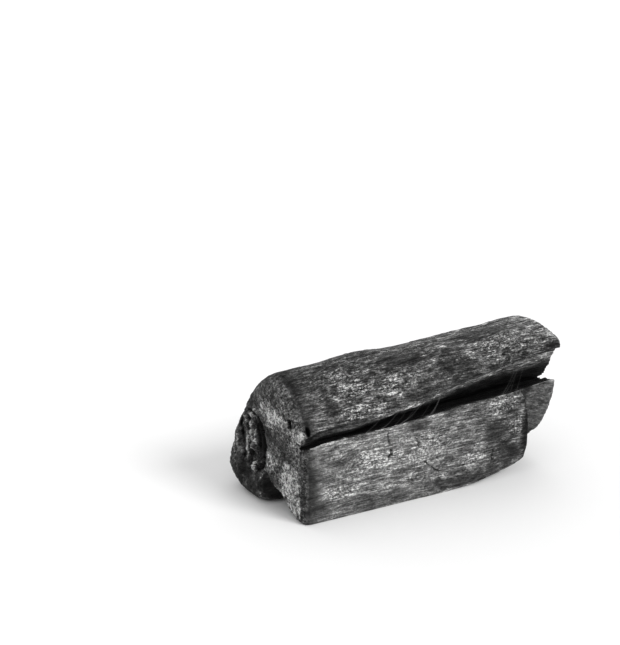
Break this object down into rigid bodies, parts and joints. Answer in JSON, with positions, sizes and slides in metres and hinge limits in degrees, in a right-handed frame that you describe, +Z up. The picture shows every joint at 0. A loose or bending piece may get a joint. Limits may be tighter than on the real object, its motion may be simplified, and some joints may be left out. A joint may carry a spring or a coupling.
{
  "type": "charcoal lump",
  "caption": "Split log of hardwood lump charcoal with a deep lengthwise drying crack and a broken outer shell, lying on its side as barbecue fuel.",
  "frame": {"origin": "middle of the bounding box, at the height of the surface it rests on", "axes": "+X along the log from its hollow-hearted end to its wide open end, -Y towards the side with the crack, +Z up"},
  "size_m": [0.1702, 0.0778, 0.0838],
  "materials": {
    "charred_wood": "charred hardwood, dark grey with a faint graphite sheen, lengthwise grain and rubbed light grey ash"
  },
  "bodies": {
    "root": {"charcoal_lump": "charred_wood"}
  },
  "joints": []
}
